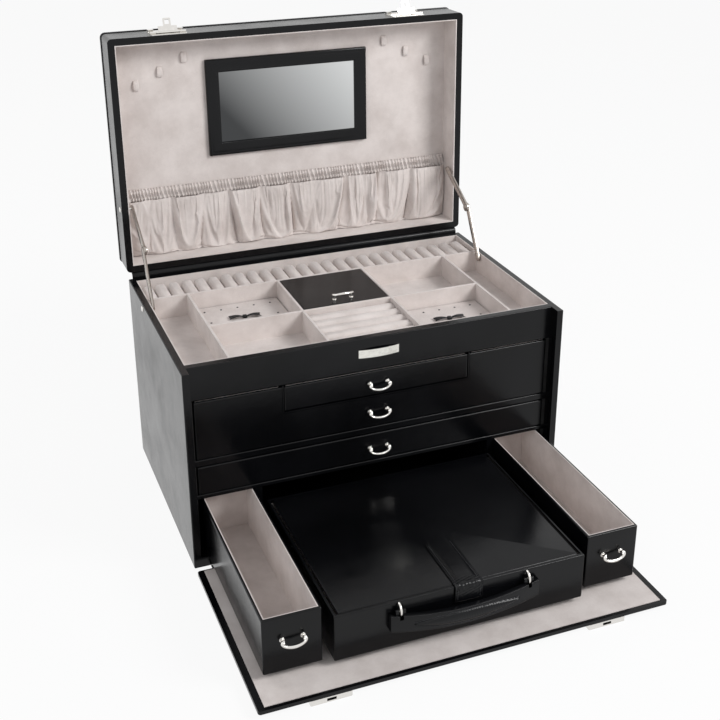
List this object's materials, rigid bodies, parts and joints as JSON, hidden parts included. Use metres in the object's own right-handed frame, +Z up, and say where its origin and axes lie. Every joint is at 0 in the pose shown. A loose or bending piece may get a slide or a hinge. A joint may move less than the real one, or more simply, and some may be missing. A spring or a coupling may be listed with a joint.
{
  "type": "jewelry box with drawers",
  "caption": "Leather-covered jewelry cabinet with mirrored hinged lid, lined ring and earring tray, sliding drawers, drop-down front flap and a slide-out travel case with handle.",
  "frame": {"origin": "centre of the cabinet's plinth on the surface it stands on", "axes": "+X to the right seen from the front, -Y is the front where the drawers and the flap come out, +Z up"},
  "size_m": [0.4438, 0.5639, 0.5441],
  "materials": {
    "leather": "smooth black faux leather with a soft sheen",
    "suede": "pale warm grey sueded cloth",
    "nickel": "polished nickel",
    "felt": "black felt",
    "ribbon": "black satin ribbon",
    "plate": "bare polished plate",
    "mirror": "silvered glass",
    "runner": "matt black",
    "board": "plain fibreboard, hidden under the lining"
  },
  "bodies": {
    "cabinet": {"base_panel": "leather", "side_panels": "leather", "back_panel": "leather", "front_rail": "leather", "tray_floor": "board", "drawer_shelves": "leather", "bay_partitions": "leather", "drawer_runners": "runner", "small_drawer_housing": "leather", "tray_lining": "suede", "tray_dividers": "suede", "back_ring_rolls": "suede", "front_ring_rolls": "suede", "earring_pads": "suede", "earring_bows": "ribbon", "nameplate": "plate", "base_plinth": "felt", "cabinet_stay_rivets": "nickel", "hinge_strips": "leather"},
    "lid": {"lid_panel": "leather", "lid_walls": "leather", "lid_lining": "suede", "mirror_frame": "leather", "mirror_glass": "mirror", "necklace_tabs": "suede", "elastic_pocket": "suede", "latch_plates": "nickel", "lid_stay_rivets": "nickel"},
    "left_hasp": {"left_hasp": "nickel"},
    "right_hasp": {"right_hasp": "nickel"},
    "left_stay_lower": {"left_stay_lower": "nickel"},
    "left_stay_upper": {"left_stay_upper": "nickel"},
    "right_stay_lower": {"right_stay_lower": "nickel"},
    "right_stay_upper": {"right_stay_upper": "nickel"},
    "flap": {"flap_panel": "leather", "flap_lining": "suede", "latch_keepers": "nickel"},
    "compartment_lid": {"compartment_lid": "leather", "compartment_pull": "nickel"},
    "small_drawer": {"small_drawer": "leather", "small_drawer_lining": "suede", "small_drawer_pull": "nickel"},
    "wide_drawer": {"wide_drawer": "leather", "wide_drawer_lining": "suede", "wide_drawer_pull": "nickel"},
    "long_drawer": {"long_drawer": "leather", "long_drawer_lining": "suede", "long_drawer_pull": "nickel"},
    "left_drawer": {"left_drawer": "leather", "left_drawer_lining": "suede", "left_drawer_pull": "nickel"},
    "right_drawer": {"right_drawer": "leather", "right_drawer_lining": "suede", "right_drawer_pull": "nickel"},
    "travel_case": {"case_body": "leather", "case_lining": "suede", "case_handle_loops": "nickel"},
    "case_lid": {"case_lid": "leather", "case_strap": "leather"},
    "case_handle": {"case_handle": "leather"}
  },
  "joints": [
    {"name": "lid_hinge", "type": "hinge", "parent": "cabinet", "child": "lid", "pos_m": [0, 0.1411, 0.2422], "axis": [1, 0, 0], "range_deg": [0, 91.1]},
    {"name": "left_stay_lower_hinge", "type": "hinge", "parent": "cabinet", "child": "left_stay_lower", "pos_m": [-0.2098, 0.056, 0.2345], "axis": [1, 0, 0], "range_deg": [0, 105.1]},
    {"name": "left_stay_upper_hinge", "type": "hinge", "parent": "lid", "child": "left_stay_upper", "pos_m": [-0.2083, 0.14839, 0.32493], "axis": [1, 0, 0], "range_deg": [-124, 0]},
    {"name": "left_hasp_hinge", "type": "hinge", "parent": "lid", "child": "left_hasp", "pos_m": [-0.1485, 0.15481, 0.52894], "axis": [1, 0, 0], "range_deg": [0, 110]},
    {"name": "right_stay_lower_hinge", "type": "hinge", "parent": "cabinet", "child": "right_stay_lower", "pos_m": [0.2098, 0.056, 0.2345], "axis": [1, 0, 0], "range_deg": [0, 105.1]},
    {"name": "right_stay_upper_hinge", "type": "hinge", "parent": "lid", "child": "right_stay_upper", "pos_m": [0.2083, 0.14839, 0.32493], "axis": [1, 0, 0], "range_deg": [-124, 0]},
    {"name": "right_hasp_hinge", "type": "hinge", "parent": "lid", "child": "right_hasp", "pos_m": [0.1485, 0.15481, 0.52894], "axis": [1, 0, 0], "range_deg": [0, 110]},
    {"name": "flap_hinge", "type": "hinge", "parent": "cabinet", "child": "flap", "pos_m": [0, -0.1422, 0.006], "axis": [-1, 0, 0], "range_deg": [0, 1.7]},
    {"name": "compartment_lid_hinge", "type": "hinge", "parent": "cabinet", "child": "compartment_lid", "pos_m": [0, 0.0657, 0.24], "axis": [1, 0, 0], "range_deg": [-75, 0]},
    {"name": "small_drawer_slide", "type": "slide", "parent": "cabinet", "child": "small_drawer", "axis": [0, -1, 0], "range_m": [0, 0.19]},
    {"name": "wide_drawer_slide", "type": "slide", "parent": "cabinet", "child": "wide_drawer", "axis": [0, -1, 0], "range_m": [0, 0.19]},
    {"name": "long_drawer_slide", "type": "slide", "parent": "cabinet", "child": "long_drawer", "axis": [0, -1, 0], "range_m": [0, 0.19]},
    {"name": "left_drawer_slide", "type": "slide", "parent": "cabinet", "child": "left_drawer", "axis": [0, -1, 0], "range_m": [-0.2166, 0.012]},
    {"name": "right_drawer_slide", "type": "slide", "parent": "cabinet", "child": "right_drawer", "axis": [0, -1, 0], "range_m": [-0.2105, 0.012]},
    {"name": "travel_case_slide", "type": "slide", "parent": "cabinet", "child": "travel_case", "axis": [0, 1, 0], "range_m": [-0.06, 0.2223]},
    {"name": "case_lid_hinge", "type": "hinge", "parent": "travel_case", "child": "case_lid", "pos_m": [0, -0.13465, 0.0709], "axis": [1, 0, 0], "range_deg": [-88, 0]},
    {"name": "case_handle_hinge", "type": "hinge", "parent": "travel_case", "child": "case_handle", "pos_m": [0, -0.34855, 0.0617], "axis": [-1, 0, 0], "range_deg": [0, 95]}
  ],
  "couplings": [
    {"joint": "left_stay_lower_hinge", "follows": "lid_hinge", "ratio": 1.1526},
    {"joint": "left_stay_upper_hinge", "follows": "lid_hinge", "ratio": -1.3605},
    {"joint": "right_stay_lower_hinge", "follows": "lid_hinge", "ratio": 1.1526},
    {"joint": "right_stay_upper_hinge", "follows": "lid_hinge", "ratio": -1.3605}
  ]
}
